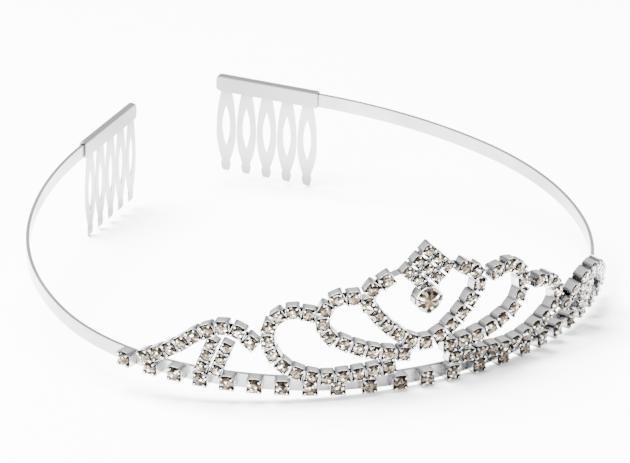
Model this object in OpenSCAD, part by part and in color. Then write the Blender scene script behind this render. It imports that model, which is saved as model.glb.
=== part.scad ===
/* [Head band] */
// Height of the flat strip, from its lower to its upper edge
band_h = 3.3; // [2.6:0.1:4]
// Thickness of the flat strip
band_t = 0.8; // [0.6:0.1:1]
// Right half of the strip as arcs from the front middle: outer radius, length
right_arcs = [[64.3, 45.6], [67.3, 44.3], [80, 44.3], [108.5, 45]];
// Left half of the strip as arcs from the front middle: outer radius, length
left_arcs = [[59.9, 42.1], [54.1, 43.3], [84.7, 43.3], [107.6, 43.2]];

/* [Combs] */
// Length of a comb and of its fold
grip_l = 25.3; // [22:0.1:30]
// Height of the fold that grips the strip's end
grip_h = 3.9; // [3.6:0.1:4.6]
// Sheet thickness of a comb
comb_t = 0.35; // [0.3:0.05:0.5]
// Length of the strip's end that is pushed into the fold
tongue_l = 6; // [4:0.5:9]
// Teeth on each comb
teeth = 5; // [4:1:6]
// Length of a tooth below the fold
tooth_l = 20.1; // [16:0.1:24]
// Width of a tooth at its root
root_w = 2.7; // [2.2:0.1:3.4]
// Greatest width of a tooth
leaf_w = 4.8; // [4:0.1:4.9]
// Distance of the greatest width below the fold
leaf_at = 9.8; // [8:0.1:11]
// Width of a tooth where its leaf ends
neck_w = 2.1; // [1.6:0.1:2.4]
// Distance of the leaf's end below the fold
neck_at = 17.2; // [15:0.1:18]
// Width of the slot in a tooth
slot_w = 2.3; // [1:0.1:2.6]
// Upper and lower end of the slot, below the fold
slot_span = [3.6, 14.9];
// Outer radius of the curl at a tooth's end
curl_r = 0.95; // [0.8:0.05:1.1]

/* [Set stones] */
// Side of a square cup in the strings
cup_w = 2.7; // [2.4:0.1:2.7]
// Side of a square cup in the row on the strip
base_cup_w = 3.1; // [2.8:0.1:3.1]
// Height of a cup's walls
cup_h = 2.5; // [1.8:0.1:2.8]
// Height of the corner claws above a cup's walls
claw_h = 0.35; // [0.2:0.05:0.5]
// Width of a corner claw
claw_w = 0.75; // [0.6:0.05:0.85]
// Radius of a stone in the strings
stone_r = 1.1; // [0.9:0.05:1.1]
// Radius of a stone in the row on the strip
base_stone_r = 1.3; // [1:0.05:1.3]
// Room between a stone and its cup, on each side
stone_gap = 0.1; // [0.1:0.02:0.15]
// Thickness of a cup's floor
floor_t = 0.5; // [0.4:0.05:0.6]
// Width of the links between cups
link_w = 1.3; // [0.8:0.1:1.6]
// Thickness of the links between cups
link_t = 0.3; // [0.2:0.05:0.35]

/* [Row on the strip] */
// Place of the row's middle cup along the strip
base_mid = 1;
// Height of the row's middle line above the strip's lower edge
base_up = 1.4;
// Steps to the left of the middle cup: number of steps, length of each
base_left = [[1, 5.8], [2, 6.3], [7, 5.5], [1, 6.4]];
// Steps to the right of the middle cup: number of steps, length of each
base_right = [[1, 5.8], [3, 6.2], [7, 5.45]];

/* [Strings of stones] */
// Heart's right half from its lowest cup: place along, height, heading, pitch, lean
heart_start = [0, 10.3, 16, 3.25, 0];
// Its bends: number of links, turn after each
heart_bends = [[1, 19.5], [3, 7.3], [3, 45.6]];
// Left inner loop
inner_left_start = [-15, 22.1, -176.4, 3.2, 0];
// Its bends
inner_left_bends = [[1, 41.8], [3, 35], [5, 5.4]];
// Left outer loop
outer_left_start = [-23.8, 18.65, 170.4, 3.1, 0];
// Its bends
outer_left_bends = [[3, 32.3], [3, 21.3], [3, 11.5], [4, 0.8]];
// Left arch
arch_left_start = [-57.2, 4.6, 28.3, 3.25, 0];
// Its bends
arch_left_bends = [[3, 3.9], [2, -9.6], [3, -30]];
// Right inner loop
inner_right_start = [15.5, 22.9, 7, 3.25, 3];
// Its bends
inner_right_bends = [[2, -36.7], [3, -28.9], [5, -6]];
// Right outer loop
outer_right_start = [26.9, 17.3, -15.3, 3.1, 6];
// Its bends
outer_right_bends = [[2, -21.8], [2, -43.9], [5, -8], [4, 0.6]];
// Right arch
arch_right_start = [58, 4.8, 140.6, 3.25, 16];
// Its bends
arch_right_bends = [[3, 2], [2, 20.8], [3, 25.1]];
// Short rows under the left arch: top cup along and height, heading, pitch, lean
rows_left = [[-43, 10.3, -110, 2.8, 0], [-40, 9.9, -110, 2.8, 0]];
// Short rows under the right arch, in the same columns
rows_right = [[45.4, 9.95, -70, 2.8, 16], [42.4, 9.85, -70, 2.8, 16]];
// Bends of a short row
row_bends = [[2, 0]];

/* [Crest and drop] */
// Topmost cup of the crest: place along the strip, height
crest_top = [0.5, 30.5];
// Spacing of the crest's cups
crest_pitch = 2.95; // [2.8:0.05:3]
// Centre of the drop: place along the strip, height
drop_at = [0.45, 19.9];
// Outer radius of the drop's round cup
drop_r = 2.95; // [2.6:0.05:3]
// Height of the drop cup's wall
drop_h = 2.9; // [2.4:0.1:3.4]
// Height of its four claws above the wall
drop_claw_h = 0.6; // [0.4:0.1:0.8]
// How far the claws stand out from the wall
drop_claw_out = 0.2; // [0.1:0.05:0.3]
// Radius of the drop's stone
drop_stone_r = 2.5; // [2.2:0.05:2.55]

/* [Hidden] */
$fn = 96;
// Gap between the strings' backs and the strip's outer face
back_gap = 0.1;
// Height on the strip from which a leaning string tilts
lean_foot = 3;
// How deep a base cup sits in the strip
base_bite = 0.3;
// Gap between the strip and the fold over it
fit_gap = 0.1;
// Thickness of the fold and place of its outer face
grip_w = band_t + 2 * fit_gap + 2 * comb_t;
grip_out = -fit_gap - comb_t;
// Inner face of the comb's sheet, inward from the strip's outer face
comb_in = grip_out + grip_w;
// Underside of the fold, from the strip's lower edge
grip_low = band_h + fit_gap + comb_t - grip_h;
// Straight pieces that make up the bend of each half of the strip
bend_steps = 60;
// Lowest point of the comb's curls, from the strip's lower edge
tip_low = grip_low - tooth_l;
tooth_pitch = grip_l / teeth;
// Straight pieces along a leaf's edge and round a curl
edge_steps = 8;
curl_steps = 12;
// Inner radius of a curl
curl_in = curl_r - comb_t;
// Height of the curls' centre line
curl_up = tip_low + curl_r;
// Inward place of the curls' centre line
curl_y = comb_in - comb_t - curl_in;
// Rounding of a cup's corners, as a share of its side
corner_cut = 0.64;
// How far a link runs in under each of its cups
link_bite = 0.45;
// Depth of a stone's girdle below its cup's rim
stone_sink = 0.3;
// Height of the drop stone's girdle above its cup's rim
drop_rise = 0.2;
// Heights of a stone's girdle and table and radius of its table, as shares of its radius
girdle_low = 0.8;
girdle_top = 0.95;
table_up = 1.35;
table_r = 0.58;
// Cups along each side of the crest, counted before the lowest is left out
crest_side = 3;
// Level and reach of the front claws, on which the piece stands
claw_low = base_cup_w / 2 - base_up;
claw_out = cup_h + claw_h;

// One arc further from a place: x, y, heading
function arc_end(p, r, l) =
    let (h = p[2] + l / r * 180 / PI)
    [p[0] + r * (sin(h) - sin(p[2])), p[1] + r * (cos(p[2]) - cos(h)), h];

// Place at a distance along a list of arcs
function along(arcs, s, p = [0, 0, 0], i = 0) =
    i == len(arcs) - 1 || s <= arcs[i][1]
        ? arc_end(p, arcs[i][0], s)
        : along(arcs, s - arcs[i][1], arc_end(p, arcs[i][0], arcs[i][1]), i + 1);

function total(arcs, n) = n == 0 ? 0 : arcs[n - 1][1] + total(arcs, n - 1);

// Place on the strip's outer face, left of the middle where s is negative
function band_at(s) =
    s >= 0
        ? along(right_arcs, s)
        : let (q = along(left_arcs, -s)) [-q[0], q[1], -q[2]];

// A list of counts and values written out one by one
function spread(rows) = [for (r = rows) for (i = [1:r[0]]) r[1]];

// Cups of a string: place along, height, heading of the next link
function walk(p, pitch, turns, i = 0) =
    i == len(turns)
        ? [p]
        : concat([p], walk([
            p[0] + pitch * cos(p[2]),
            p[1] + pitch * sin(p[2]),
            p[2] + turns[i]
        ], pitch, turns, i + 1));

function string_of(start, bends) =
    walk([start[0], start[1], start[2]], start[3], spread(bends));

// Turn of a cup, half way between the links beside it
function roll(w, i) =
    i == 0 ? w[0][2] : i == len(w) - 1 ? w[i - 1][2] : (w[i - 1][2] + w[i][2]) / 2;

function turned_over(list) = [for (i = [len(list) - 1:-1:0]) list[i]];

function sum_to(list, n) = n == 0 ? 0 : list[n - 1] + sum_to(list, n - 1);

// Cups of the heart from its left to its right end, two halves that share the lowest cup
heart_half = string_of(heart_start, heart_bends);
heart_places = concat(
    [for (i = [len(heart_half) - 1:-1:1])
        [-heart_half[i][0], heart_half[i][1], -heart_half[i - 1][2]]],
    heart_half
);

left_steps = spread(base_left);
right_steps = spread(base_right);

// Places of the row's cups, from left to right
base_places = concat(
    [for (i = [len(left_steps):-1:1]) base_mid - sum_to(left_steps, i)],
    [for (i = [0:len(right_steps)]) base_mid + sum_to(right_steps, i)]
);

// Places of the crest's cups, the lowest of the square left out
crest_places = [
    for (i = [0:crest_side - 1]) for (j = [0:crest_side - 1])
        if (i + j < 2 * crest_side - 2)
        [crest_top[0] + (i - j) * crest_pitch / sqrt(2),
         crest_top[1] - (i + j) * crest_pitch / sqrt(2)]
];

// Place where the first tooth of a comb meets the table
function foot(arcs) =
    let (p = along(arcs, total(arcs, len(arcs))), a = (tooth_pitch - neck_w) / 2)
    [p[0] + a * cos(p[2]) - curl_y * sin(p[2]), p[1] + a * sin(p[2]) + curl_y * cos(p[2])];

// Turn that brings the feet of both combs to one distance behind the front
foot_right = foot(right_arcs);
foot_left = foot(left_arcs);
face_turn = atan((foot_right[1] - foot_left[1]) / (foot_right[0] + foot_left[0]));

function behind(p) = p[1] * cos(face_turn) - p[0] * sin(face_turn);

// Foremost point of the claws in the row on the strip
claw_edge = sqrt(pow(base_cup_w * corner_cut, 2) - pow(base_cup_w / 2, 2));
front_reach = min([
    for (s = base_places) for (k = [-claw_edge, claw_edge])
        let (p = band_at(s))
        behind([p[0] + claw_out * sin(p[2]) + k * cos(p[2]),
                p[1] - claw_out * cos(p[2]) + k * sin(p[2])])
]);

// Tilt and lift at which the front claws and the first teeth stand level
band_tilt = atan((-tip_low - claw_low) / (behind(foot_right) - front_reach));
stand_up = claw_low * cos(band_tilt) - front_reach * sin(band_tilt);
// Middle of the whole piece, from the strip's front middle
middle = [10.7, 71.2];

// Puts the tilted piece on the table, its middle over the origin
module stand() {
    translate([-middle[0], -middle[1], stand_up])
        rotate([band_tilt, 0, 0])
            rotate([0, 0, -face_turn])
                children();
}

// Places a shape on the strip's outer face: x along, y up, z outward
module on_band(s, up, out = 0, lean = 0, turn = 0) {
    p = band_at(s);
    lift = lean == 0 ? 0 : cup_h * tan(lean);
    translate([p[0], p[1], 0])
        rotate([0, 0, p[2]])
            translate([0, -out, lean_foot])
                rotate([90 + lean, 0, 0])
                    translate([0, up - lean_foot + lift, 0])
                        rotate([0, 0, turn])
                            children();
}

// Square cup with a round seat and four corner claws
module cup(w, r, low = 0) {
    difference() {
        translate([0, 0, -low])
            linear_extrude(cup_h + claw_h + low)
                intersection() {
                    square(w, center = true);
                    circle(w * corner_cut);
                }
        translate([0, 0, floor_t])
            cylinder(h = cup_h + claw_h, r = r + stone_gap);
        for (a = [0, 90])
            rotate([0, 0, a])
                translate([-w, claw_w - w / 2, cup_h])
                    cube([2 * w, w - 2 * claw_w, 2 * claw_h]);
    }
}

// Round cut stone: point below, girdle, eight or more facets and a table
module stone(r, sides = 8) {
    step = 360 / sides;
    // height, radius
    rings = [[girdle_low * r, r], [girdle_top * r, r], [table_up * r, table_r * r]];
    points = concat(
        [[0, 0, 0]],
        [for (g = rings) for (k = [0:sides - 1])
            [g[1] * cos(k * step), g[1] * sin(k * step), g[0]]]
    );
    faces = concat(
        [for (k = [0:sides - 1]) [0, 1 + k, 1 + (k + 1) % sides]],
        [for (g = [0:1]) for (k = [0:sides - 1])
            let (a = 1 + g * sides + k, b = 1 + g * sides + (k + 1) % sides)
            [a, a + sides, b + sides, b]],
        [[for (k = [sides - 1:-1:0]) 1 + 2 * sides + k]]
    );
    polyhedron(points, faces);
}

// A stone at its height in a cup
module cup_stone(r) {
    translate([0, 0, cup_h - stone_sink - girdle_top * r])
        rotate([0, 0, 22.5])
            stone(r);
}

// Cups of one string with the links behind them
module string_metal(w, lean = 0) {
    for (i = [0:len(w) - 1])
        on_band(w[i][0], w[i][1], back_gap, lean, roll(w, i))
            cup(cup_w, stone_r);
    for (i = [0:len(w) - 2]) {
        step = norm([w[i + 1][0] - w[i][0], w[i + 1][1] - w[i][1]]);
        on_band((w[i][0] + w[i + 1][0]) / 2, (w[i][1] + w[i + 1][1]) / 2,
                back_gap, lean, w[i][2])
            link(step - cup_w + 2 * link_bite);
    }
}

module link(l) {
    translate([-l / 2, -link_w / 2, (floor_t - link_t) / 2])
        cube([l, link_w, link_t]);
}

// Stones of one string
module string_stones(w, lean = 0) {
    for (i = [0:len(w) - 1])
        on_band(w[i][0], w[i][1], back_gap, lean, roll(w, i))
            cup_stone(stone_r);
}

// Point on the strip at a distance inward from its outer face
function strip_point(s, inward) =
    let (p = band_at(s)) [p[0] - inward * sin(p[2]), p[1] + inward * cos(p[2])];

// Point on the straight end of an arm, side 1 on the right and -1 on the left
function end_point(arcs, side, inward) =
    let (p = along(arcs, total(arcs, len(arcs))))
    [side * (p[0] + tongue_l * cos(p[2]) - inward * sin(p[2])),
     p[1] + tongue_l * sin(p[2]) + inward * cos(p[2])];

// One long edge of the strip seen from above, from the left to the right end
function strip_edge(inward) = concat(
    [end_point(left_arcs, -1, inward)],
    [for (i = [bend_steps:-1:1])
        strip_point(-i * total(left_arcs, len(left_arcs)) / bend_steps, inward)],
    [for (i = [0:bend_steps])
        strip_point(i * total(right_arcs, len(right_arcs)) / bend_steps, inward)],
    [end_point(right_arcs, 1, inward)]
);

// The bent strip with its straight ends
module strip() {
    linear_extrude(band_h)
        polygon(concat(strip_edge(0), turned_over(strip_edge(band_t))));
}

// Places a shape at an arm's end: x along, y inward, z up
module at_end(arcs) {
    p = along(arcs, total(arcs, len(arcs)));
    translate([p[0], p[1], 0])
        rotate([0, 0, p[2]])
            children();
}

module headband() {
    color("silver") stand() {
        strip();
        for (s = base_places)
            on_band(s, base_up) cup(base_cup_w, base_stone_r, base_bite);
    }
}

// Fold seen from the strip's end, closed above and open below
module fold_outline() {
    fold_r = comb_t + 0.2;
    difference() {
        polygon([
            [grip_out, grip_low],
            [grip_out, grip_low + grip_h - fold_r],
            [grip_out + fold_r / 3, grip_low + grip_h - fold_r / 3],
            [grip_out + fold_r, grip_low + grip_h],
            [comb_in - fold_r, grip_low + grip_h],
            [comb_in - fold_r / 3, grip_low + grip_h - fold_r / 3],
            [comb_in, grip_low + grip_h - fold_r],
            [comb_in, grip_low]
        ]);
        translate([grip_out + comb_t, grip_low - 1])
            square([grip_w - 2 * comb_t, grip_h - comb_t + 1]);
    }
}

// Folded upper edge of a comb, its far corners cut
module fold() {
    end_cut = 1;
    intersection() {
        translate([fit_gap, 0, 0])
            rotate([90, 0, 90]) linear_extrude(grip_l - fit_gap) fold_outline();
        translate([0, 2 * grip_w, grip_low])
            rotate([90, 0, 0])
                linear_extrude(4 * grip_w)
                    polygon([
                        [-1, -1],
                        [grip_l - end_cut, -1],
                        [grip_l, end_cut],
                        [grip_l, grip_h - end_cut],
                        [grip_l - end_cut / 3, grip_h - end_cut / 3],
                        [grip_l - end_cut, grip_h + 1],
                        [-1, grip_h + 1]
                    ]);
    }
}

// Radius of an arc that leaves the vertical by a step over a length
function bow(step, l) = (step * step + l * l) / (2 * step);

// Half width of an arc-sided leaf at a distance from its widest place
function leaf_half(w, r, d) = w / 2 - r + sqrt(r * r - d * d);

// Right-hand edge of a tooth, from above its root to its flat end
function tooth_edge() = concat(
    [for (i = [-1:edge_steps]) let (d = leaf_at * (1 - i / edge_steps))
        [leaf_half(leaf_w, bow((leaf_w - root_w) / 2, leaf_at), min(d, leaf_at)), d - leaf_at]],
    [for (i = [1:edge_steps]) let (d = (neck_at - leaf_at) * i / edge_steps)
        [leaf_half(leaf_w, bow((leaf_w - neck_w) / 2, neck_at - leaf_at), d), -leaf_at - d]],
    [[neck_w / 2, curl_r - tooth_l]]
);

// Edge of a tooth's slot, pointed at both ends
function slot_edge() =
    let (half = (slot_span[1] - slot_span[0]) / 2, r = bow(slot_w / 2, half))
    [for (i = [-edge_steps:edge_steps]) let (d = half * i / edge_steps)
        [leaf_half(slot_w, r, d), d - slot_span[0] - half]];

function flipped(list) = [for (q = turned_over(list)) [-q[0], q[1]]];

module tooth_outline() {
    difference() {
        polygon(concat(tooth_edge(), flipped(tooth_edge())));
        polygon(concat(slot_edge(), flipped([for (i = [1:2 * edge_steps - 1]) slot_edge()[i]])));
    }
}

// Half ring at a tooth's end, seen from the side
module curl_outline() {
    polygon(concat(
        [for (i = [0:curl_steps]) let (a = -180 * i / curl_steps)
            [curl_r * cos(a), curl_r * sin(a)]],
        [for (i = [curl_steps:-1:0]) let (a = -180 * i / curl_steps)
            [curl_in * cos(a), curl_in * sin(a)]]
    ));
}

// Stamped comb: a fold over the strip's end and leaf-shaped teeth that curl outward
module comb(arcs) {
    at_end(arcs) {
        fold();
        translate([0, comb_in, grip_low])
            rotate([90, 0, 0])
                linear_extrude(comb_t)
                    for (i = [0:teeth - 1])
                        translate([(i + 0.5) * tooth_pitch, 0]) tooth_outline();
        for (i = [0:teeth - 1])
            translate([(i + 0.5) * tooth_pitch - neck_w / 2, curl_y, curl_up])
                rotate([90, 0, 90])
                    linear_extrude(neck_w) curl_outline();
    }
}

module left_comb() { color("gainsboro") stand() mirror([1, 0, 0]) comb(left_arcs); }
module right_comb() { color("gainsboro") stand() comb(right_arcs); }

module heart() { color("silver") stand() string_metal(heart_places); }
module heart_stones() { color("tan") stand() string_stones(heart_places); }

// Standing square of cups without its lowest one
module crest() {
    l = crest_pitch - cup_w + 2 * link_bite;
    color("silver") stand()
        for (c = crest_places) {
            on_band(c[0], c[1], back_gap, 0, 45) cup(cup_w, stone_r);
            for (side = [-1, 1])
                if (crest_has(c, side))
                    on_band(c[0] + side * crest_pitch / sqrt(8),
                            c[1] - crest_pitch / sqrt(8), back_gap, 0, -side * 45)
                        link(l);
        }
}

// Whether a cup of the crest has a lower neighbour on one side
function crest_has(c, side) =
    len([for (q = crest_places)
        if (abs(q[0] - c[0] - side * crest_pitch / sqrt(2)) < 0.1
            && abs(q[1] - c[1] + crest_pitch / sqrt(2)) < 0.1) q]) > 0;

module crest_stone(i) {
    c = crest_places[i - 1];
    color("tan") stand()
        on_band(c[0], c[1], back_gap, 0, 45) cup_stone(stone_r);
}

// Round cup with four claws and a neck towards the crest
module drop_cup() {
    inner = drop_stone_r + stone_gap;
    claw = 1.2;
    claw_root = 0.4;
    neck = [0.6, 4.5, 1.2];
    color("silver") stand()
        on_band(drop_at[0], drop_at[1], back_gap)
            difference() {
                union() {
                    cylinder(h = drop_h, r = drop_r);
                    for (a = [0, 90, 180, 270])
                        rotate([0, 0, a])
                            translate([inner - claw_root, -claw / 2, claw_root])
                                cube([drop_r - inner + claw_root + drop_claw_out, claw,
                                      drop_h + drop_claw_h - claw_root]);
                    translate([-neck[0] / 2, 0, claw_root]) cube(neck);
                }
                translate([0, 0, floor_t]) cylinder(h = 2 * drop_h, r = inner);
            }
}

module drop_stone() {
    color("tan") stand()
        on_band(drop_at[0], drop_at[1], back_gap)
            translate([0, 0, drop_h + drop_rise - girdle_top * drop_stone_r])
                stone(drop_stone_r, 12);
}

// Metal and stones of a string given by its start and bends
module loop_metal(start, bends) { string_metal(string_of(start, bends), start[4]); }
module loop_stones(start, bends) { string_stones(string_of(start, bends), start[4]); }

module left_inner_loop() {
    color("silver") stand() loop_metal(inner_left_start, inner_left_bends);
}
module right_inner_loop() {
    color("silver") stand() loop_metal(inner_right_start, inner_right_bends);
}
module left_outer_loop() {
    color("silver") stand() loop_metal(outer_left_start, outer_left_bends);
}
module right_outer_loop() {
    color("silver") stand() loop_metal(outer_right_start, outer_right_bends);
}
module left_arch() {
    color("silver") stand() loop_metal(arch_left_start, arch_left_bends);
}
module right_arch() {
    color("silver") stand() loop_metal(arch_right_start, arch_right_bends);
}
module left_inner_stones() {
    color("tan") stand() loop_stones(inner_left_start, inner_left_bends);
}
module right_inner_stones() {
    color("tan") stand() loop_stones(inner_right_start, inner_right_bends);
}
module left_outer_stones() {
    color("tan") stand() loop_stones(outer_left_start, outer_left_bends);
}
module right_outer_stones() {
    color("tan") stand() loop_stones(outer_right_start, outer_right_bends);
}
module left_arch_stones() {
    color("tan") stand() loop_stones(arch_left_start, arch_left_bends);
}
module right_arch_stones() {
    color("tan") stand() loop_stones(arch_right_start, arch_right_bends);
}

// Two rows side by side, tied by links at their first and last cups
module short_rows(rows) {
    a = string_of(rows[0], row_bends);
    b = string_of(rows[1], row_bends);
    for (r = rows) loop_metal(r, row_bends);
    for (i = [0, len(a) - 1]) {
        step = norm([b[i][0] - a[i][0], b[i][1] - a[i][1]]);
        on_band((a[i][0] + b[i][0]) / 2, (a[i][1] + b[i][1]) / 2, back_gap, rows[0][4],
                rows[0][2] + 90)
            link(step - cup_w + 2 * link_bite);
    }
}

module left_short_rows() { color("silver") stand() short_rows(rows_left); }
module right_short_rows() { color("silver") stand() short_rows(rows_right); }
module left_row_stones() {
    color("tan") stand() for (r = rows_left) loop_stones(r, row_bends);
}
module right_row_stones() {
    color("tan") stand() for (r = rows_right) loop_stones(r, row_bends);
}

module base_stone(i) {
    color("tan") stand() on_band(base_places[i - 1], base_up) cup_stone(base_stone_r);
}

headband();
left_comb();
right_comb();
heart();
crest();
drop_cup();
left_inner_loop();
right_inner_loop();
left_outer_loop();
right_outer_loop();
left_arch();
right_arch();
left_short_rows();
right_short_rows();
heart_stones();
left_inner_stones();
right_inner_stones();
left_outer_stones();
right_outer_stones();
left_arch_stones();
right_arch_stones();
left_row_stones();
right_row_stones();
drop_stone();
for (i = [1:len(crest_places)])
    crest_stone(i);
for (i = [1:len(base_places)])
    base_stone(i);
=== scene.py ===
import math

import bmesh
import bpy
from mathutils import Matrix, Vector


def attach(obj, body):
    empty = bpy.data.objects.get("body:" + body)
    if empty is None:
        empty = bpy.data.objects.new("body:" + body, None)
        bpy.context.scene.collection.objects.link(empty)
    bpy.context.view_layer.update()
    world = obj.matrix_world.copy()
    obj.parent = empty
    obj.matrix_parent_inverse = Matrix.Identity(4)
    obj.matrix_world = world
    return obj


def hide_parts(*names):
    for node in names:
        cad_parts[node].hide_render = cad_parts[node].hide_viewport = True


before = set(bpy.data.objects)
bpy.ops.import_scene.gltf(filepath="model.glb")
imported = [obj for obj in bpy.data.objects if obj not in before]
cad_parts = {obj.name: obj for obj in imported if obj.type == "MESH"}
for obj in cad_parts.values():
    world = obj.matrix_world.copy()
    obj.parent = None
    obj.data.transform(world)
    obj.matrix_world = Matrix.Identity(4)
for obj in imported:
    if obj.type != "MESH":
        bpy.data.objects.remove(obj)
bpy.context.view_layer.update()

# ---------------------------------------------------------------- head band
# A flat sprung strip of plated steel, polished, with its edges broken by tumbling. It
# is bent to an open loop that stands on its front cups and on its combs.
strip_height, strip_thick, strip_round = 3.3, 0.8, 0.16
strip_steps, strip_skin, strip_tongue = 320, 0.015, 6.0
# outer radius and length of each bend, from the front middle backwards
right_bends = [(64.3, 45.6), (67.3, 44.3), (80.0, 44.3), (108.5, 45.0)]
left_bends = [(59.9, 42.1), (54.1, 43.3), (84.7, 43.3), (107.6, 43.2)]
# the diadem is turned to the front and tilted until its front cups and combs stand
face_turn, band_tilt = math.radians(6.25249), math.radians(8.5374)
stand_up, middle = 0.628779, (10.7, 71.2)

standing = (Matrix.Translation((-middle[0], -middle[1], stand_up))
            @ Matrix.Rotation(band_tilt, 4, "X") @ Matrix.Rotation(-face_turn, 4, "Z"))


def band_at(s):
    """x, y and heading on the strip's outer face, s millimetres right of the middle."""
    x = y = heading = 0.0
    left, bends = abs(s), right_bends if s >= 0 else left_bends
    for radius, length in bends:
        last = (radius, length) == bends[-1]
        run = left if last else min(left, length)
        turned = heading + run / radius
        x += radius * (math.sin(turned) - math.sin(heading))
        y += radius * (math.cos(heading) - math.cos(turned))
        heading, left = turned, left - run
        if left <= 0:
            break
    return (x, y, heading) if s >= 0 else (-x, y, -heading)


class Value:
    """A shader socket that can be added, multiplied and compared like a number."""

    def __init__(self, tree, socket):
        self.tree, self.socket = tree, socket

    def math(self, operation, *others):
        return self.tree.add("ShaderNodeMath", {"operation": operation},
                             dict(enumerate([self, *others])))

    def __add__(self, other):
        return self.math("ADD", other)

    __radd__ = __add__

    def __sub__(self, other):
        return self.math("SUBTRACT", other)

    def __mul__(self, other):
        return self.math("MULTIPLY", other)

    __rmul__ = __mul__

    def __truediv__(self, other):
        return self.math("DIVIDE", other)

    def __pow__(self, other):
        return self.math("POWER", other)

    def __gt__(self, other):
        return self.math("GREATER_THAN", other)

    def __lt__(self, other):
        return self.math("LESS_THAN", other)


class Shader:
    """A material's node tree. Its methods make nodes and give back one output of each."""

    def __init__(self, name):
        self.material = bpy.data.materials.new(name)
        self.material.use_nodes = True
        self.nodes = self.material.node_tree.nodes
        self.links = self.material.node_tree.links
        self.surface = self.nodes["Principled BSDF"]

    def add(self, kind, settings=None, inputs=None, output=0):
        node = self.nodes.new(kind)
        for name, value in (settings or {}).items():
            setattr(node, name, value)
        for name, value in (inputs or {}).items():
            self.put(node.inputs[name], value)
        return Value(self, node.outputs[output])

    def put(self, socket, value):
        if isinstance(value, Value):
            self.links.new(value.socket, socket)
        else:
            socket.default_value = value

    def set(self, **inputs):
        for name, value in inputs.items():
            self.put(self.surface.inputs[name.replace("_", " ")], value)

    def place(self):
        return self.add("ShaderNodeTexCoord", None, None, "Object")

    def mark(self, name, output="Fac"):
        return self.add("ShaderNodeAttribute", {"attribute_name": name}, None, output)

    def noise(self, where, scale, detail):
        return self.add("ShaderNodeTexNoise", None,
                        {"Vector": where, "Scale": scale, "Detail": detail})

    def ramp(self, factor, stops, interpolation="LINEAR"):
        out = self.add("ShaderNodeValToRGB", None, {"Fac": factor})
        ramp = out.socket.node.color_ramp
        ramp.interpolation = interpolation
        while len(ramp.elements) < len(stops):
            ramp.elements.new(1.0)
        for element, (place, colour) in zip(ramp.elements, stops):
            element.position, element.color = place, (*colour, 1.0)
        return out

    def mix(self, factor, one, other):
        out = self.add("ShaderNodeMix", {"data_type": "RGBA"}, None, 2)
        for place, value in ((0, factor), (6, one), (7, other)):
            self.put(out.socket.node.inputs[place], value)
        return out

    def bump(self, height, strength, distance):
        return self.add("ShaderNodeBump", None,
                        {"Height": height, "Strength": strength, "Distance": distance})


def skin(first, many, rings):
    """Faces over rings of points that follow each other, closed at both ends."""
    faces = []
    for ring in range(rings - 1):
        for j in range(many):
            a, b = first + many * ring + j, first + many * ring + (j + 1) % many
            faces.append((a, b, b + many, a + many))
    last = first + many * (rings - 1)
    return faces + [tuple(range(first, first + many)), tuple(range(last, last + many))]


def mesh_from(name, points, faces):
    """A mesh in metres from points in millimetres, its normals outward."""
    mesh = bpy.data.meshes.new(name)
    mesh.from_pydata([tuple(0.001 * c for c in p) for p in points], [], faces)
    mesh.validate()
    shape = bmesh.new()
    shape.from_mesh(mesh)
    bmesh.ops.recalc_face_normals(shape, faces=shape.faces)
    shape.to_mesh(mesh)
    shape.free()
    return mesh


def shown(name, mesh, material, slot, *nodes):
    """A finished piece: it rides with the diadem and stands for the CAD nodes named."""
    piece = bpy.data.objects.new(name, mesh)
    bpy.context.scene.collection.objects.link(piece)
    mesh.materials.clear()
    mesh.materials.append(material)
    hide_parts(*nodes)
    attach(piece, "root")


silver = Shader("silver plating")
here = silver.place()
cloud, grain = silver.noise(here, 90.0, detail=4.0), silver.noise(here, 2600.0, detail=2.0)
silver.set(Metallic=1.0, Roughness=0.13 + 0.10 * cloud + 0.05 * grain,
           Base_Color=silver.ramp(cloud, [(0.30, (0.24, 0.24, 0.244)),
                                          (0.70, (0.33, 0.33, 0.334))]),
           Normal=silver.bump(grain, strength=0.06, distance=0.00002))

edge_low, edge_high = strip_round, strip_height - strip_round
face_near, face_far = strip_round, strip_thick - strip_round
section = [(strip_skin, edge_low), (face_near, 0), (face_far, 0), (strip_thick, edge_low),
           (strip_thick, edge_high), (face_far, strip_height), (face_near, strip_height),
           (strip_skin, edge_high)]
arms = [sum(length for _, length in bends) for bends in (left_bends, right_bends)]
rows = [band_at(-arms[0] + (arms[0] + arms[1]) * k / strip_steps)
        for k in range(strip_steps + 1)]
# a straight tongue at each end lies in the comb's fold
tongues = [(x + reach * math.cos(heading), y + reach * math.sin(heading), heading)
           for (x, y, heading), reach in ((rows[0], -strip_tongue), (rows[-1], strip_tongue))]
rows = [tongues[0], *rows, tongues[1]]
points = [standing @ Vector((x - inward * math.sin(heading), y + inward * math.cos(heading), up))
          for x, y, heading in rows for inward, up in section]
faces = skin(0, len(section), len(rows))
shown("band_strip", mesh_from("band_strip", points, faces), silver.material, "band_metal",
      "headband")

# ---------------------------------------------------------------- row on the strip
# Twenty-three cups, soldered one by one on the strip's face. Each is pressed from thin
# plated metal, square, with a claw at each corner bent over a foiled glass brilliant.
# width of a cup, heights of its rim and of the dips in it, then its wall and floor
cup_wide, cup_rim, cup_dip, cup_wall, cup_floor = 2.6, 2.5, 2.12, 0.12, 0.5
# heights along a claw, then its reach and half width as parts of half a cup
claw_root, claw_bend, claw_tip = cup_rim - 0.5, cup_rim + 0.1, 2.82
claw_reach, claw_half = 1.21, 0.14
link_wide, link_low, link_high = 1.3, 0.1, 0.4
# the girdle's radius and height, the crown over it, the depth below and the seat
stone_radius, stone_up, stone_crown, stone_deep, stone_seat = 1.18, 2.30, 0.44, 1.2, 1.21
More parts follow.
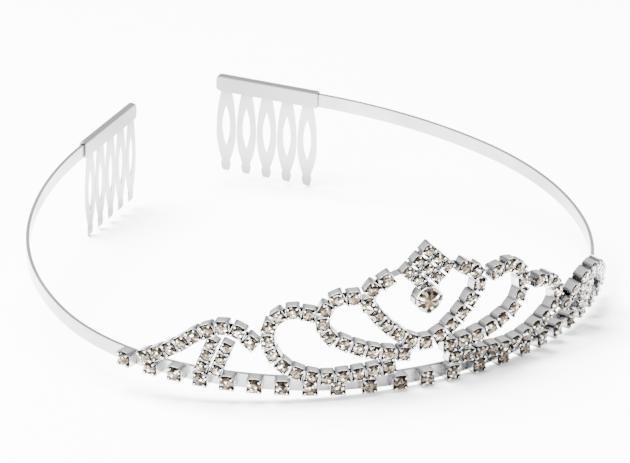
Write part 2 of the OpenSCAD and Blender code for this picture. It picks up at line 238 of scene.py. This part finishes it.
# facets and skirt, as parts of the radius and of the crown
stone_table, kite_reach, kite_rise, girdle = 0.56, 0.83, 0.52, 0.07
skirt_reach, skirt_drop = 1.3, 0.3
base_mid, base_up, base_wide = 1.0, 1.68, 3.3 / cup_wide
# from the cup at base_mid, the steps to the next ones on either side
base_left = [5.8] + 2 * [6.3] + 7 * [5.5] + [6.4]
base_right = [5.8] + 3 * [6.2] + 7 * [5.45]
# the height on the strip from which a leaning string tilts
lean_foot = 3.0


def on_band(s, up, out=0.0, lean=0.0, turn=0.0):
    """Matrix that puts x along the strip, y up and z outward, out from a place on it.

    lean and turn are in degrees.
    """
    x, y, heading = band_at(s)
    lean = math.radians(lean)
    return (standing @ Matrix.Translation((x, y, 0)) @ Matrix.Rotation(heading, 4, "Z")
            @ Matrix.Translation((0, -out, lean_foot))
            @ Matrix.Rotation(math.pi / 2 + lean, 4, "X")
            @ Matrix.Translation((0, up - lean_foot + cup_rim * math.tan(lean), 0))
            @ Matrix.Rotation(math.radians(turn), 4, "Z"))


def circle(radius, up, many, first=0.0):
    """Points of a ring at one height, the first of them at an angle in degrees."""
    angles = [math.radians(360 / many * k + first) for k in range(many)]
    return [(radius * math.cos(a), radius * math.sin(a), up) for a in angles]


def brilliant(name, radius, table, rim_up, crown, depth, seat_wide):
    """Cut stone with 8 star, 8 kite and 16 edge facets, its girdle at rim_up.

    A skirt under the girdle, painted dark as shade, closes the seat round it.
    """
    points = (circle(table * radius, rim_up + crown, 8)
              + circle(kite_reach * radius, rim_up + kite_rise * crown, 8, 22.5)
              + circle(radius, rim_up, 16) + circle(radius, rim_up - girdle * radius, 16)
              + [(0, 0, rim_up - depth)])
    skirt = circle(skirt_reach * radius, rim_up - skirt_drop * radius, 16)
    points += [(max(-seat_wide, min(seat_wide, x)), max(-seat_wide, min(seat_wide, y)), z)
               for x, y, z in skirt]
    kites, rim, girdle_low, tip, skirt_first = 8, 16, 32, 48, 49
    faces = [tuple(range(8))]
    for k in range(8):
        kite, even, odd = kites + k, rim + 2 * k, rim + 2 * k + 1
        faces += [(k, kite, (k + 1) % 8), (k, kites + (k - 1) % 8, even, kite),
                  (kite, even, odd), (kite, odd, rim + (2 * k + 2) % 16)]
    for k in range(16):
        n = (k + 1) % 16
        faces += [(rim + k, rim + n, girdle_low + n, girdle_low + k),
                  (girdle_low + k, girdle_low + n, tip),
                  (girdle_low + k, girdle_low + n, skirt_first + n, skirt_first + k)]
    mesh = mesh_from(name, points, faces)
    gem = mesh.attributes.new("gem", "FLOAT_VECTOR", "POINT")
    for item, (x, y, z) in zip(gem.data, points):
        item.vector = (x / radius, y / radius, (z - rim_up) / radius)
    return mesh


def with_painted_shade(mesh, painted_shade):
    """Keeps how near the rim each corner of a setting lies, from 0 in its recesses to 1, a mark
    that its finish turns into painted shade.
    """
    column = mesh.attributes.new("painted_shade", "FLOAT", "POINT")
    for item, value in zip(column.data, painted_shade):
        item.value = value
    return mesh


def claws(first_point, first_turn, stations):
    """Points and faces of four bent claws, a quarter turn apart.

    A station has height, reach, half width, thickness and the dip of its inner edge.
    """
    points, faces = [], []
    for k in range(4):
        turn = Matrix.Rotation(math.radians(90 * k + first_turn), 3, "Z")
        faces += skin(first_point + len(points), 4, len(stations))
        for up, reach, half, thick, dip in stations:
            points += [turn @ Vector(corner) for corner in (
                (reach, -half, up), (reach, half, up),
                (reach - thick, half, up - dip), (reach - thick, -half, up - dip))]
    return points, faces


def pressed_cup():
    """Square cup with rounded corners, walls that dip between its four bent claws."""
    half, tip_dip = cup_wide / 2, 0.08
    # the low middle of one wall and its rounded corner: across, along, height
    side = ((1.0, -0.5, cup_dip), (1.0, 0.5, cup_dip),
            (0.97, 0.84, cup_rim), (0.84, 0.97, cup_rim))
    outline = []
    for k in range(4):
        cos, sin = math.cos(math.radians(90 * k)), math.sin(math.radians(90 * k))
        outline += [(half * (x * cos - y * sin), half * (x * sin + y * cos), z)
                    for x, y, z in side]
    inset = 1.0 - cup_wall / half
    points = ([(x, y, 0.0) for x, y, _ in outline] + outline
              + [(x * inset, y * inset, z) for x, y, z in outline]
              + [(x * inset, y * inset, cup_floor) for x, y, _ in outline])
    faces = skin(0, len(outline), 4)
    far, wide = claw_reach * half, claw_half * half
    claw_points, claw_faces = claws(len(points), 45, (
        (claw_root, far, 1.15 * wide, 0.20 * half, tip_dip),
        (claw_bend, 0.99 * far, wide, 0.24 * half, tip_dip),
        (claw_tip, 0.84 * far, 0.8 * wide, 0.26 * half, tip_dip)))
    # painted light and shade: the sides that lie open and the claws lighter, the corners behind
    # the claws, the inner rim and the floor darker
    back, outer_rim = 4 * [0.75, 0.75, 0.32, 0.32], 4 * [0.95, 0.95, 0.40, 0.40]
    inner_rim, floor, four_claws = 16 * [0.4], 16 * [0.0], 4 * (4 * [0.5] + 8 * [1.0])
    painted_shade = back + outer_rim + inner_rim + floor + four_claws
    return with_painted_shade(mesh_from("cup", points + claw_points, faces + claw_faces), painted_shade)


def block(low, high):
    """The eight corners of a plain block, as two rings of four."""
    return [(x, y, z) for z in (low[2], high[2])
            for x, y in (low[:2], (high[0], low[1]), high[:2], (low[0], high[1]))]


def flat_link():
    """A link behind two cups, one millimetre long until it is stretched."""
    points = block((-0.5, -link_wide / 2, link_low), (0.5, link_wide / 2, link_high))
    # painted shade: one low mark paints the link dark, as in the shade behind the cups
    return with_painted_shade(mesh_from("link", points, skin(0, 4, 2)), 8 * [0.1])


def pattern(name, mesh):
    """One shape for the node trees to copy."""
    one = bpy.data.objects.new(name, mesh)
    bpy.context.scene.collection.objects.link(one)
    return one


cup_shape = pattern("cup", pressed_cup())
link_shape = pattern("link", flat_link())
stone_shape = pattern("stone", brilliant("stone", stone_radius, stone_table, stone_up,
                                         stone_crown, stone_deep, stone_seat))


class Growth:
    """A geometry node tree with named inputs that ends in one realized, painted mesh."""

    def __init__(self, name, inputs):
        self.tree = bpy.data.node_groups.new(name, "GeometryNodeTree")
        sockets = self.tree.interface
        sockets.new_socket("Geometry", in_out="INPUT", socket_type="NodeSocketGeometry")
        for label, kind in inputs.items():
            sockets.new_socket(label, in_out="INPUT", socket_type="NodeSocket" + kind)
        sockets.new_socket("Geometry", in_out="OUTPUT", socket_type="NodeSocketGeometry")
        self.given = self.tree.nodes.new("NodeGroupInput")

    def add(self, kind, settings=None, inputs=None):
        node = self.tree.nodes.new(kind)
        for name, value in (settings or {}).items():
            setattr(node, name, value)
        for name, value in (inputs or {}).items():
            if isinstance(value, bpy.types.NodeSocket):
                self.tree.links.new(value, node.inputs[name])
            else:
                node.inputs[name].default_value = value
        return node

    def read(self, name, kind):
        node = self.add("GeometryNodeInputNamedAttribute", {"data_type": kind}, {"Name": name})
        return node.outputs["Attribute"]

    def copies(self, label, wanted):
        """Copies of one shape at the given points whose link mark is as wanted."""
        shape = self.add("GeometryNodeObjectInfo", None, {"Object": self.given.outputs[label]})
        mark = self.add("FunctionNodeCompare", {"data_type": "FLOAT", "operation": "EQUAL"},
                        {0: self.read("is_link", "FLOAT"), 1: wanted, "Epsilon": 0.1})
        aim = self.add("FunctionNodeEulerToRotation", None,
                       {"Euler": self.read("aim", "FLOAT_VECTOR")})
        return self.add("GeometryNodeInstanceOnPoints", None,
                        {"Points": self.given.outputs["Geometry"],
                         "Selection": mark.outputs[0], "Instance": shape.outputs["Geometry"],
                         "Rotation": aim.outputs[0],
                         "Scale": self.read("stretch", "FLOAT_VECTOR")}).outputs[0]

    def end(self, geometry):
        real = self.add("GeometryNodeRealizeInstances", None, {"Geometry": geometry})
        paint = self.add("GeometryNodeSetMaterial", None,
                         {"Geometry": real.outputs[0], "Material": self.given.outputs["Finish"]})
        out = self.tree.nodes.new("NodeGroupOutput")
        self.tree.links.new(paint.outputs[0], out.inputs["Geometry"])
        return self.tree


is_cup, is_link = 0.0, 1.0
cup_growth = Growth("cups and links", {"Cup": "Object", "Link": "Object", "Finish": "Material"})
both = cup_growth.add("GeometryNodeJoinGeometry")
for part in (cup_growth.copies("Cup", is_cup), cup_growth.copies("Link", is_link)):
    cup_growth.tree.links.new(part, both.inputs["Geometry"])
cups_tree = cup_growth.end(both.outputs[0])

gem_growth = Growth("stones", {"Stone": "Object", "Seed": "Int", "Finish": "Material"})
chance = gem_growth.add("FunctionNodeRandomValue", {"data_type": "FLOAT"},
                        {"Seed": gem_growth.given.outputs["Seed"]})
numbered = gem_growth.add("GeometryNodeStoreNamedAttribute",
                          {"data_type": "FLOAT", "domain": "INSTANCE"},
                          {"Geometry": gem_growth.copies("Stone", is_cup), "Name": "gem_id",
                           "Value": chance.outputs[1]})
gems_tree = gem_growth.end(numbered.outputs[0])


def grown(name, tree, places, inputs):
    """Plain mesh that a node tree makes from places: matrix, stretch, link mark."""
    mesh = bpy.data.meshes.new(name)
    mesh.from_pydata([tuple(0.001 * c for c in m.translation) for m, _, _ in places], [], [])
    columns = {"aim": ("FLOAT_VECTOR", "vector", [m.to_euler("XYZ") for m, _, _ in places]),
               "stretch": ("FLOAT_VECTOR", "vector", [size for _, size, _ in places]),
               "is_link": ("FLOAT", "value", [mark for _, _, mark in places])}
    for label, (kind, field, values) in columns.items():
        column = mesh.attributes.new(label, kind, "POINT")
        for item, value in zip(column.data, values):
            setattr(item, field, value)
    start = bpy.data.objects.new(name, mesh)
    bpy.context.scene.collection.objects.link(start)
    step = start.modifiers.new("grow", "NODES")
    step.node_group = tree
    sockets = {s.name: s.identifier for s in tree.interface.items_tree if s.in_out == "INPUT"}
    for label, value in inputs.items():
        step[sockets[label]] = value
    bpy.context.view_layer.update()
    ready = start.evaluated_get(bpy.context.evaluated_depsgraph_get())
    made = bpy.data.meshes.new_from_object(ready)
    start.modifiers.remove(step)
    bpy.data.objects.remove(start)
    made.name = name
    return made


# Painted shade: the ramp darkens each setting where its mark is low, in its recesses, behind its
# claws and on its links, and lightens its rims; smudge adds a random tone.
setting = Shader("silver setting")
painted_shade = setting.mark("painted_shade")
smudge = setting.noise(setting.place(), 700.0, detail=3.0)
setting.set(Metallic=1.0, Roughness=0.16 + 0.14 * smudge,
            Base_Color=setting.ramp(painted_shade + 0.3 * smudge - 0.15, [
                (0.00, (0.02, 0.02, 0.02)), (0.38, (0.15, 0.15, 0.15)),
                (0.72, (0.30, 0.30, 0.30)), (0.98, (0.48, 0.48, 0.484))]),
            Normal=setting.bump(smudge, strength=0.15, distance=0.00005))


def foiled(look, table_edge, facets, more, skew, spin, number, line, rim, gloss, tones):
    """Facets in three rings, each of its own tone of painted reflection, parted by lines of
    painted shade, in a seat of painted shade.

    The rings are split at table_edge and crown_edge. The innermost has so many facets,
    each next one so many more, and number picks the tones.
    """
    crown_edge, seat_edge, seat_shade_tone = 0.78, 1.04, (0.012, 0.009, 0.007, 1.0)
    axes = look.add("ShaderNodeSeparateXYZ", None, {"Vector": look.mark("gem", "Vector")})
    x, y = (Value(look, axes.socket.node.outputs[k]) for k in (0, 1))
    turns = y.math("ARCTAN2", x) / (2 * math.pi) + 0.5
    outward = (x * x + y * y) ** 0.5
    ring = (outward > table_edge) + (outward > crown_edge)
    around = turns * (facets + more * ring) + spin + ring * skew
    sector = around.math("FLOOR")
    # Painted shade: thin dark lines at the facets' edges, a dark ring at the girdle and the dark
    # seat round the stone, which is also rougher.
    dark = (around - sector < line) + (outward > rim)
    seat = outward > seat_edge
    cell = look.add("ShaderNodeCombineXYZ", None, {0: ring, 1: sector, 2: number})
    tone = look.add("ShaderNodeTexWhiteNoise", {"noise_dimensions": "3D"}, {"Vector": cell})
    look.set(Metallic=0.9, Roughness=gloss + 0.4 * seat, IOR=1.55,
             Base_Color=look.mix((seat + dark).math("MINIMUM", 1.0),
                                 look.ramp(tone, tones, "CONSTANT"), seat_shade_tone))


# Painted reflections: each facet takes a random tone from near black through warm browns to a
# white painted glint; the warm tint is the stones' own.
crystal = Shader("foiled crystal")
own = crystal.mark("gem_id")
foiled(crystal, table_edge=0.42, facets=6.0, more=4.0, skew=0.37, spin=own * 7.0,
       number=own * 91.7, line=0.13, rim=0.94, gloss=0.10,
       tones=[(0.00, (0.006, 0.004, 0.003)), (0.20, (0.026, 0.018, 0.012)),
              (0.40, (0.070, 0.053, 0.036)), (0.60, (0.125, 0.101, 0.074)),
              (0.80, (0.24, 0.21, 0.165)), (0.92, (1.0, 0.98, 0.94))])


def set_cups(name, places, slot, *nodes):
    """The cups and links of a group, as one piece."""
    mesh = grown(name, cups_tree, places,
                 {"Cup": cup_shape, "Link": link_shape, "Finish": setting.material})
    shown(name, mesh, setting.material, slot, *nodes)


def set_stones(name, places, seed, *nodes):
    """The stones of a group of cups, as one piece."""
    mesh = grown(name, gems_tree, places,
                 {"Stone": stone_shape, "Seed": seed, "Finish": crystal.material})
    shown(name, mesh, crystal.material, "crystal", *nodes)


row = sorted([base_mid - sum(base_left[:k]) for k in range(1, len(base_left) + 1)]
             + [base_mid + sum(base_right[:k]) for k in range(len(base_right) + 1)])
places = [(on_band(s, base_up), (base_wide, base_wide, 1.0), is_cup) for s in row]
set_cups("base_cups", places, "band_metal", "headband")
set_stones("base_crystals", places, 3, *[f"base_stone_{k}" for k in range(1, 24)])

# ---------------------------------------------------------------- heart
# One string of fifteen smaller cups of the same plated metal, tied by flat links behind
# them and bent to a heart that is open at the top. Its foot is soldered to its neighbours.
string_back, string_gap = 0.1, 0.10
# how far the strings settle on the row below, where they are soldered
settle_along, settle_down = 0.35, 0.35
# a link is so much shorter than the step between its cups
link_short = 1.7


def walk(start, heading, pitch, bends):
    """Cups of a string: place along, height and heading of the next link."""
    s, up = start
    places = [(s, up, heading)]
    for count, turn in bends:
        for _ in range(count):
            s += pitch * math.cos(math.radians(heading))
            up += pitch * math.sin(math.radians(heading))
            heading += turn
            places.append((s, up, heading))
    return places


def string_places(cups, lean=0.0):
    """Matrices of a string's cups, each turned half way between its links, and links."""
    wide = (math.dist(cups[0][:2], cups[1][:2]) - string_gap) / cup_wide
    cups = [(s + settle_along, up - settle_down, heading) for s, up, heading in cups]
    found = []
    for k, (s, up, heading) in enumerate(cups):
        before = cups[k - 1][2] if k else heading
        after = heading if k < len(cups) - 1 else before
        found.append((on_band(s, up, string_back, lean, (before + after) / 2),
                      (wide, wide, 1), is_cup))
    for (s, up, heading), (s2, up2, _) in zip(cups, cups[1:]):
        long = math.hypot(s2 - s, up2 - up) - link_short
        found.append((on_band((s + s2) / 2, (up + up2) / 2, string_back, lean, heading),
                      (long, 1, 1), is_link))
    return found


def set_string(name, places, seed, metal_node, *stone_nodes):
    """A string of cups and its stones, as two pieces."""
    set_cups(name + "_metal", places, "setting_metal", metal_node)
    set_stones(name + "_crystal", places, seed, *stone_nodes)


half = walk((0, 10.3), 16, 3.25, [(1, 19.5), (3, 7.3), (3, 45.6)])
heart = [(-half[k][0], half[k][1], -half[k - 1][2]) for k in range(len(half) - 1, 0, -1)] + half
set_string("heart", string_places(heart), 11, "heart", "heart_stones")

# ---------------------------------------------------------------- crest
# Eight such cups soldered in a standing square over the heart, tied to its two ends by
# flat links. The large stone takes the place of the square's lowest cup.
crest_top, crest_pitch, crest_gap = (0.5, 30.5), 2.95, 0.28
crest_link, tie_short, same_place = 1.25, 2.2, 0.1
step = crest_pitch / math.sqrt(2)
crest_wide = (crest_pitch - crest_gap) / cup_wide
square = [(crest_top[0] + (i - j) * step, crest_top[1] - (i + j) * step)
          for i in range(3) for j in range(3) if i + j < 4]
places = [(on_band(s, up, string_back, 0, 45), (crest_wide, crest_wide, 1), is_cup)
          for s, up in square]
for s, up in square:
    for side in (-1, 1):
        below = (s + side * step, up - step)
        if any(math.dist(below, other) < same_place for other in square):
            at = on_band(s + side * step / 2, up - step / 2, string_back, 0, -45 * side)
            places.append((at, (crest_link, 1, 1), is_link))
left_corner, right_corner = square[2], square[6]
for (s, up, _), (s2, up2) in ((heart[0], left_corner), (heart[-1], right_corner)):
    s, up = s + settle_along, up - settle_down
    aim = math.degrees(math.atan2(up2 - up, s2 - s))
    long = math.hypot(s2 - s, up2 - up) - tie_short
    places.append((on_band((s + s2) / 2, (up + up2) / 2, string_back, 0, aim),
                   (long, 1, 1), is_link))
set_string("crest", places, 12, "crest", *[f"crest_stone_{k}" for k in range(1, 9)])

# ---------------------------------------------------------------- drop
# A large foiled stone in a round cup of plated metal, with four claws. A small neck
# holds it under the crest, inside the heart.
drop_at, drop_radius, drop_wall, drop_edge = (0.45, 19.9), 2.95, 2.9, 0.25
drop_inner, drop_floor, drop_sides = drop_radius - 0.3, 1.0, 32
claw_far, claw_thick, tip_dip = 3.18, 0.36, 0.15
rings = [(drop_radius - drop_edge, 0.0), (drop_radius, drop_edge), (drop_radius, drop_wall),
         (drop_radius - drop_edge, drop_wall), (drop_inner, drop_floor)]
points = [point for radius, up in rings for point in circle(radius, up, drop_sides)]
claw_points, claw_faces = claws(len(points), 0, (
    (0.5, claw_far, 0.6, claw_thick, 0), (2.6, claw_far, 0.6, claw_thick, 0),
    (3.2, 2.95, 0.5, claw_thick, tip_dip), (3.48, 2.45, 0.35, claw_thick, tip_dip)))
faces = skin(0, drop_sides, len(rings)) + claw_faces
points += claw_points
# the neck
faces += skin(len(points), 4, 2)
points += block((-0.3, 2.6, 0.4), (0.3, 4.5, 1.6))
# painted shade: what lies inside the cup's wall is marked darkest, the rest darker towards the
# bottom
recess = drop_inner + 0.01
painted_shade = [0.0 if math.hypot(p[0], p[1]) < recess else p[2] / drop_wall for p in points]
drop_place = on_band(*drop_at, string_back)
drop_mesh = mesh_from("drop_setting", [drop_place @ Vector(p) for p in points], faces)
shown("drop_setting", with_painted_shade(drop_mesh, painted_shade), setting.material, "setting_metal", "drop_cup")

drop_stone = brilliant("drop_crystal", radius=2.80, table=0.54, rim_up=2.86, crown=0.75,
                       depth=2.0, seat_wide=1.9)
for vertex in drop_stone.vertices:
    vertex.co = 0.001 * (drop_place @ (1000 * vertex.co))
# Painted reflections: as on the small stones, each facet takes a tone from near black through
# warm browns to a white painted glint, over the stones' own warm tint.
big = Shader("large foiled crystal")
foiled(big, table_edge=0.5, facets=12.0, more=6.0, skew=0.5, spin=0.0, number=4.0,
       line=0.10, rim=0.96, gloss=0.08,
       tones=[(0.00, (0.006, 0.004, 0.002)), (0.18, (0.034, 0.024, 0.014)),
              (0.40, (0.095, 0.072, 0.046)), (0.58, (0.21, 0.17, 0.12)),
              (0.76, (0.52, 0.46, 0.37)), (0.90, (1.0, 0.96, 0.88))])
shown("drop_crystal", drop_stone, big.material, "drop_crystal", "drop_stone")

# ---------------------------------------------------------------- loops
# Two bent strings of cups on each side of the heart, one inside the other, soldered
# where they touch. On the right they lean outward a little, as bent in use.
# columns: name, seed, first cup, heading, pitch, lean, then runs of cups with their turn
for name, seed, start, heading, pitch, lean, bends in (
        ("left_inner", 21, (-15, 22.1), -176.4, 3.2, 0, [(1, 41.8), (3, 35), (5, 5.4)]),
        ("left_outer", 22, (-23.8, 18.65), 170.4, 3.1, 0,
         [(3, 32.3), (3, 21.3), (3, 11.5), (4, 0.8)]),
        ("right_inner", 23, (15.5, 22.9), 7, 3.25, 3, [(2, -36.7), (3, -28.9), (5, -6)]),
        ("right_outer", 24, (26.9, 17.3), -15.3, 3.1, 6,
         [(2, -21.8), (2, -43.9), (5, -8), (4, 0.6)])):
    set_string(name, string_places(walk(start, heading, pitch, bends), lean), seed,
               name + "_loop", name + "_stones")

# ---------------------------------------------------------------- arches
# A string of cups bent to a low arch closes each side, soldered at its foot to the row
# on the strip. The right one leans outward.
# columns: name, seed, first cup, heading, pitch, lean, then runs of cups with their turn
for name, seed, start, heading, pitch, lean, bends in (
        ("left_arch", 31, (-57.4, 4.3), 28.3, 3.25, 0, [(3, 3.9), (2, -9.6), (3, -30)]),
        ("right_arch", 32, (58, 4.8), 140.6, 3.25, 16, [(3, 2), (2, 20.8), (3, 25.1)])):
    set_string(name, string_places(walk(start, heading, pitch, bends), lean), seed,
               name, name + "_stones")

# ---------------------------------------------------------------- short rows
# Two straight strings of three cups stand side by side under each arch, soldered to it
# and to the row on the strip.
row_pitch = 2.8
for side, tops, heading, lean in (("left", ((-43, 10.3), (-40, 9.9)), -110, 0),
                                  ("right", ((45.4, 9.95), (42.4, 9.85)), -70, 16)):
    places = [place for top in tops
              for place in string_places(walk(top, heading, row_pitch, [(2, 0)]), lean)]
    set_string(side + "_rows", places, 41, side + "_short_rows", side + "_row_stones")

for one in (cup_shape, link_shape, stone_shape):
    bpy.data.objects.remove(one)

# ---------------------------------------------------------------- combs
# Each comb is stamped from one thin sheet of plated steel with a satin finish. Its
# upper edge is folded over the strip's end and pressed on, its round tips curl outward.
comb_long, teeth, sheet, step_back = 25.3, 5, 0.27, 0.13
# the fold's height, lower edge, outer and inner face, sheet, bend and rounded end
fold_high, fold_low, fold_out, fold_in, fold_wall = 3.9, -0.15, -0.45, 1.25, 0.35
fold_round, end_round, mouth, fold_shade = 0.55, 1.0, 0.1, 1.25
# widths of a tooth and of its slot, and how far down they lie
root_wide, leaf_wide, leaf_at, neck_wide, neck_at = 2.7, 4.8, 9.8, 1.9, 17.2
slot_wide, slot_first, slot_last, slot_least, tooth_long = 1.95, 3.4, 13.6, 0.04, 20.1
# the round tip, and the depth and length of its outward curl
tip_half, tip_at, tip_reach, curl_y, curl_run = 1.15, 17.95, 2.35, 0.30, 0.98
tooth_y = fold_in - step_back - sheet / 2
curl_radius = tooth_y - curl_y
curl_from = tooth_long - curl_radius - sheet / 2

# Painted shade: the mark darkens the teeth towards their tips and paints the fold a darker grey;
# cloud adds a random tone.
satin = Shader("satin plating")
painted_shade = satin.mark("painted_shade")
here = satin.place()
cloud, grain = satin.noise(here, 60.0, detail=3.0), satin.noise(here, 1800.0, detail=3.0)
satin.set(Metallic=1.0, Roughness=0.28 + 0.08 * cloud + 0.06 * grain,
          Base_Color=satin.ramp(0.8 * painted_shade + 0.12 * cloud, [
              (0.05, (0.17, 0.17, 0.173)), (0.30, (0.31, 0.31, 0.314)),
              (0.80, (0.34, 0.34, 0.344)), (0.90, (0.25, 0.25, 0.254))]),
          Normal=satin.bump(grain, strength=0.08, distance=0.00002))


def arc_half(wide, narrow, run, away):
    """Half width of an arc-sided leaf at a distance from its widest place."""
    drop = (wide - narrow) / 2
    radius = (drop * drop + run * run) / (2 * drop)
    return wide / 2 - radius + math.sqrt(radius * radius - away * away)


def tooth_half(down):
    """Half width of a tooth: a leaf from its root to its neck, then a round tip."""
    if down < leaf_at:
        return arc_half(leaf_wide, root_wide, leaf_at, leaf_at - max(down, 0))
    if down <= neck_at:
        return arc_half(leaf_wide, neck_wide, neck_at - leaf_at, down - leaf_at)
    return tip_half * math.sqrt(1 - ((down - tip_at) / tip_reach) ** 2)


def tooth_at(down):
    """Depth, height and outward direction of the sheet, down along a tooth."""
    turn = max(0.0, (down - curl_from) / curl_radius)
    height = fold_low - min(down, curl_from) - curl_radius * math.sin(turn)
    return curl_y + curl_radius * math.cos(turn), height, (math.cos(turn), -math.sin(turn))


def tooth_parts():
    """Points round x = 0, faces and marks of painted shade, darker towards the tip, of one
    slotted tooth.
    """
    half_slot, middle_slot = (slot_last - slot_first) / 2, (slot_last + slot_first) / 2
    # rows of points at the root, the slot, the waist, the neck and the curl
    downs = ([-0.7, 0.0, 1.8] + [slot_first + 2 * half_slot * k / 16 for k in range(17)]
             + [14.4, 15.3, 16.2] + [neck_at + (curl_from - neck_at) * k / 4 for k in range(5)]
             + [curl_from + curl_run * k / 8 for k in range(1, 9)])
    points, shade_marks, flat = [], [], []
    for face in (1, -1):
        for down in downs:
            y, z, (ny, nz) = tooth_at(down)
            half, slot = tooth_half(down), tooth_half(down) / 3
            if slot_first <= down <= slot_last:
                slot = arc_half(slot_wide, 0, half_slot, abs(down - middle_slot))
                slot = max(slot_least, slot)
            points += [(x, y + face * ny * sheet / 2, z + face * nz * sheet / 2)
                       for x in (-half, -slot, slot, half)]
            # painted shade: the mark falls from 1 at the root to 0 at the tip, painted darker
            # downwards
            shade_marks += 4 * [1.0 - max(down, 0.0) / tooth_long]
    for k, (down, after) in enumerate(zip(downs, downs[1:])):
        is_open = slot_first <= down and after <= slot_last
        flat += [(4 * k + c, 4 * k + c + 1, 4 * k + c + 5, 4 * k + c + 4)
                 for c in ((0, 2) if is_open else (0, 1, 2))]
    # an edge that only one face has lies on the outline or round the slot
    edges, many = {}, 4 * len(downs)
    for face in flat:
        for edge in zip(face, face[1:] + face[:1]):
            edges[frozenset(edge)] = None if frozenset(edge) in edges else edge
    rims = [(a, b, b + many, a + many) for a, b in filter(None, edges.values())]
    back = [tuple(many + k for k in face) for face in flat]
    return points, flat + back + rims, shade_marks


def fold_parts():
    """Points, faces and marks of painted shade of the fold, a bent channel with rounded ends."""
    top = fold_low + fold_high
    arch = [(fold_round * math.sin(math.radians(22.5 * k)),
             fold_round * math.cos(math.radians(22.5 * k))) for k in range(5)]
    profile = ([(fold_out, fold_low)]
               + [(fold_out + fold_round - b, top - fold_round + a) for a, b in arch]
               + [(fold_in - fold_round + a, top - fold_round + b) for a, b in arch]
               + [(fold_in, fold_low), (fold_in - fold_wall, fold_low),
                  (fold_in - fold_wall, top - fold_wall),
                  (fold_out + fold_wall, top - fold_wall), (fold_out + fold_wall, fold_low)])
    centre, points = fold_low + fold_high / 2, []
    away = [comb_long - mouth] + [end_round * part for part in (1, 0.7, 0.45, 0.25, 0.1, 0.0)]
    for left in away:
        cut = end_round - math.sqrt(end_round ** 2 - max(0.0, end_round - left) ** 2)
        shrink = 1 - 2 * cut / fold_high
        points += [(comb_long - left, y, centre + (z - centre) * shrink) for y, z in profile]
    # painted shade: the whole fold takes one mark, past the teeth's, that paints it a darker grey
    return points, skin(0, len(profile), len(away)), len(points) * [fold_shade]


tooth, fold = tooth_parts(), fold_parts()
points, faces, shade_marks = [], [], []
for x, part in [((k + 0.5) * comb_long / teeth, tooth) for k in range(teeth)] + [(0.0, fold)]:
    faces += [tuple(len(points) + k for k in face) for face in part[1]]
    points += [(x + across, y, z) for across, y, z in part[0]]
    shade_marks += part[2]
for name, side, arm in (("left_comb", -1, arms[0]), ("right_comb", 1, arms[1])):
    x, y, heading = band_at(side * arm)
    end = (standing @ Matrix.Translation((x, y, 0)) @ Matrix.Rotation(heading, 4, "Z")
           @ Matrix.Diagonal((side, 1, 1, 1)))
    mesh = with_painted_shade(mesh_from(name, [end @ Vector(p) for p in points], faces), shade_marks)
    shown(name + "_sheet", mesh, satin.material, "comb_metal", name)

# ---------------------------------------------------------------- table and light
# A glossy white table in a bright white room, under one large soft box overhead and a
# smaller one at the left.
table_reach = 4000
white = Shader("white table")
cloud = white.noise(white.place(), 3.0, detail=2.0)
white.set(Base_Color=white.ramp(cloud, [(0.3, (0.93, 0.93, 0.93)), (0.7, (0.95, 0.95, 0.95))]),
          Roughness=0.22, Specular_IOR_Level=0.35)
corners = [(x * table_reach, y * table_reach, 0) for x, y in ((-1, -1), (1, -1), (1, 1), (-1, 1))]
table = bpy.data.objects.new("table", mesh_from("table", corners, [(0, 1, 2, 3)]))
table.data.materials.append(white.material)
bpy.context.scene.collection.objects.link(table)

world = bpy.data.worlds.new("room")
bpy.context.scene.world = world
world.use_nodes = True
room = world.node_tree.nodes["Background"]
room.inputs["Color"].default_value = (1.0, 1.0, 1.0, 1.0)
room.inputs["Strength"].default_value = 2.2


def soft_box(name, place, aim, wide, watts):
    """A square lamp that lights the object without showing in its polish."""
    light = bpy.data.lights.new(name, "AREA")
    light.shape, light.size, light.size_y, light.energy = "RECTANGLE", wide, wide, watts
    lamp = bpy.data.objects.new(name, light)
    lamp.location = place
    lamp.rotation_euler = (Vector(aim) - Vector(place)).to_track_quat("-Z", "Y").to_euler()
    lamp.visible_glossy = False
    bpy.context.scene.collection.objects.link(lamp)


soft_box("top box", (-0.2, 0.2, 0.9), (0, 0, 0), 0.9, 160.0)
soft_box("side box", (-0.9, -0.3, 0.5), (0, -0.05, 0.02), 0.5, 16.0)

# ---------------------------------------------------------------- camera
# A long lens, a little above the table and to the left of the front, turned slightly
# as the photograph is.
film_wide, photo_wide, lens_pixels = 36.0, 630, 5000
azimuth, elevation, roll = (math.radians(a) for a in (-28.7243, 17.8767, -3.4373))
aim_at, distance = Vector((0.023257, 0.030765, 0)), 1.120804
camera = bpy.data.objects.new("camera", bpy.data.cameras.new("camera"))
bpy.context.scene.collection.objects.link(camera)
bpy.context.scene.camera = camera
camera.data.sensor_width, camera.data.lens = film_wide, film_wide * lens_pixels / photo_wide
back = Vector((math.sin(azimuth) * math.cos(elevation), -math.cos(azimuth) * math.cos(elevation),
               math.sin(elevation)))
level = Vector((math.cos(azimuth), math.sin(azimuth), 0))
upright = back.cross(level)
right = level * math.cos(roll) + upright * math.sin(roll)
up = upright * math.cos(roll) - level * math.sin(roll)
turned = Matrix((right, up, back)).transposed().to_4x4()
camera.matrix_world = Matrix.Translation(aim_at + distance * back) @ turned
camera.data.clip_start, camera.data.clip_end = 0.1, 20
